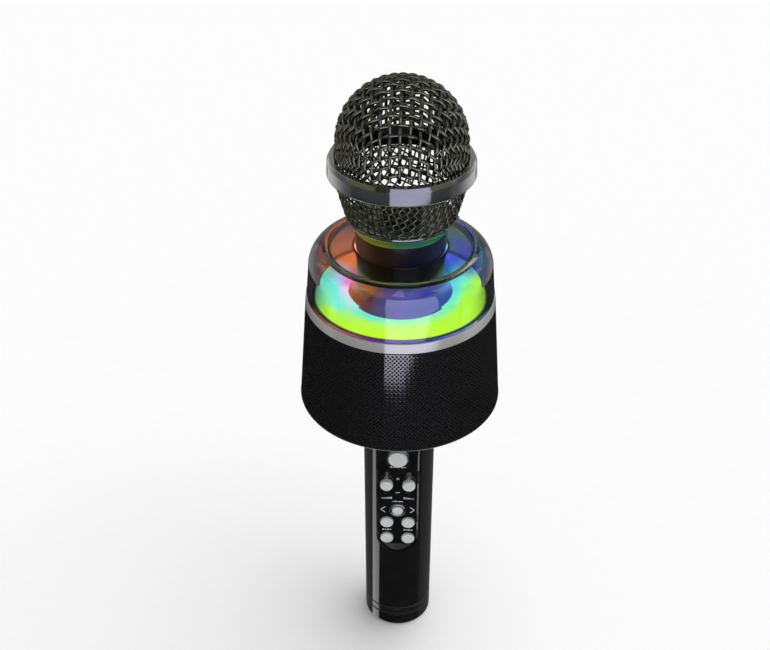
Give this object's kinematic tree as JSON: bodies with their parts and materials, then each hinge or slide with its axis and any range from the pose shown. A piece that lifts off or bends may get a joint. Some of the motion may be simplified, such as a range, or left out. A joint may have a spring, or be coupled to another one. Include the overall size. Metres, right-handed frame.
{
  "type": "karaoke microphone",
  "caption": "Cordless karaoke microphone with a woven wire grille, a lit clear dome, a drum speaker under it and a straight handle with press buttons and slide controls.",
  "frame": {"origin": "centre of the end cap's flat face, at the foot of the handle, on the long axis", "axes": "+Z along the handle up to the top of the grille; -Y is the side with the button panel; +X is to the right of someone who looks at the panel"},
  "size_m": [0.0846, 0.0846, 0.2751],
  "materials": {
    "gloss_black": "polished black lacquer",
    "satin_black": "satin moulded plastic",
    "button_grey": "satin silver-grey paint",
    "bright_chrome": "bright plating",
    "black_chrome": "black chrome plating",
    "black_wire": "black plated woven wire",
    "drum_black": "powder-coated perforated sheet",
    "silver_metal": "satin aluminium",
    "smoked_clear": "smoked clear plastic",
    "glow_floor": "frosted translucent plastic, lit from below",
    "glow_column": "translucent plastic, lit from within",
    "circuit_board": "solder-masked fibreglass",
    "bare_steel": "plated steel",
    "ferrite": "sintered ferrite",
    "paper": "pressed paper pulp",
    "soft_rubber": "matte rubber",
    "copper": "enamelled copper wire",
    "spider_cloth": "resin-stiffened cloth",
    "cell_wrap": "shrink-wrapped steel can"
  },
  "bodies": {
    "microphone": {"end_cap": "gloss_black", "handle_shell": "gloss_black", "drum_base": "gloss_black", "neck_collar": "gloss_black", "trim_ring": "satin_black", "control_panel": "satin_black", "battery_cradle": "satin_black", "audio_jack": "satin_black", "speaker_cage": "satin_black", "light_tray": "satin_black", "grille_base": "satin_black", "top_button_bezel": "bright_chrome", "power_button_bezel": "bright_chrome", "grille_band": "black_chrome", "lower_grille": "black_wire", "upper_grille": "black_wire", "drum_grille": "drum_black", "silver_ring": "silver_metal", "light_dome": "smoked_clear", "dome_top_plate": "smoked_clear", "light_floor": "glow_floor", "light_column": "glow_column", "control_board": "circuit_board", "port_board": "circuit_board", "led_board": "circuit_board", "top_switch": "bare_steel", "power_switch": "bare_steel", "previous_switch": "bare_steel", "next_switch": "bare_steel", "mode_switch": "bare_steel", "light_switch": "bare_steel", "volume_slider_body": "bare_steel", "echo_slider_body": "bare_steel", "battery_spring": "bare_steel", "charge_socket": "bare_steel", "speaker_basket": "bare_steel", "speaker_yoke": "bare_steel", "speaker_screw_1": "bare_steel", "speaker_screw_2": "bare_steel", "speaker_screw_3": "bare_steel", "speaker_screw_4": "bare_steel", "mic_capsule": "bare_steel", "speaker_magnet": "ferrite", "speaker_surround": "soft_rubber", "capsule_gasket": "soft_rubber", "speaker_spider": "spider_cloth", "battery_cell": "cell_wrap"},
    "top_button": {"top_button": "button_grey"},
    "power_button": {"power_button": "button_grey"},
    "previous_button": {"previous_button": "button_grey"},
    "next_button": {"next_button": "button_grey"},
    "mode_button": {"mode_button": "button_grey"},
    "light_button": {"light_button": "button_grey"},
    "volume_slider": {"volume_knob": "button_grey", "volume_slider_lever": "bare_steel"},
    "echo_slider": {"echo_knob": "button_grey", "echo_slider_lever": "bare_steel"},
    "speaker_cone": {"speaker_cone": "paper", "voice_coil": "copper", "dust_cap": "paper"}
  },
  "joints": [
    {"name": "top_button_press", "type": "slide", "parent": "microphone", "child": "top_button", "axis": [0, 1, 0], "range_m": [0, 0.0005], "stiffness_N_per_m": 2500, "springref_m": -0.0002},
    {"name": "power_button_press", "type": "slide", "parent": "microphone", "child": "power_button", "axis": [0, 1, 0], "range_m": [0, 0.0005], "stiffness_N_per_m": 2500, "springref_m": -0.0002},
    {"name": "previous_button_press", "type": "slide", "parent": "microphone", "child": "previous_button", "axis": [0, 1, 0], "range_m": [0, 0.0005], "stiffness_N_per_m": 2500, "springref_m": -0.0002},
    {"name": "next_button_press", "type": "slide", "parent": "microphone", "child": "next_button", "axis": [0, 1, 0], "range_m": [0, 0.0005], "stiffness_N_per_m": 2500, "springref_m": -0.0002},
    {"name": "mode_button_press", "type": "slide", "parent": "microphone", "child": "mode_button", "axis": [0, 1, 0], "range_m": [0, 0.0005], "stiffness_N_per_m": 2500, "springref_m": -0.0002},
    {"name": "light_button_press", "type": "slide", "parent": "microphone", "child": "light_button", "axis": [0, 1, 0], "range_m": [0, 0.0005], "stiffness_N_per_m": 2500, "springref_m": -0.0002},
    {"name": "volume_slide", "type": "slide", "parent": "microphone", "child": "volume_slider", "axis": [0, 0, 1], "range_m": [-0.0045, 0.0045]},
    {"name": "echo_slide", "type": "slide", "parent": "microphone", "child": "echo_slider", "axis": [0, 0, 1], "range_m": [-0.0045, 0.0045]},
    {"name": "cone_travel", "type": "slide", "parent": "microphone", "child": "speaker_cone", "axis": [0, 0, 1], "range_m": [-0.0008, 0.0008], "stiffness_N_per_m": 1500}
  ]
}
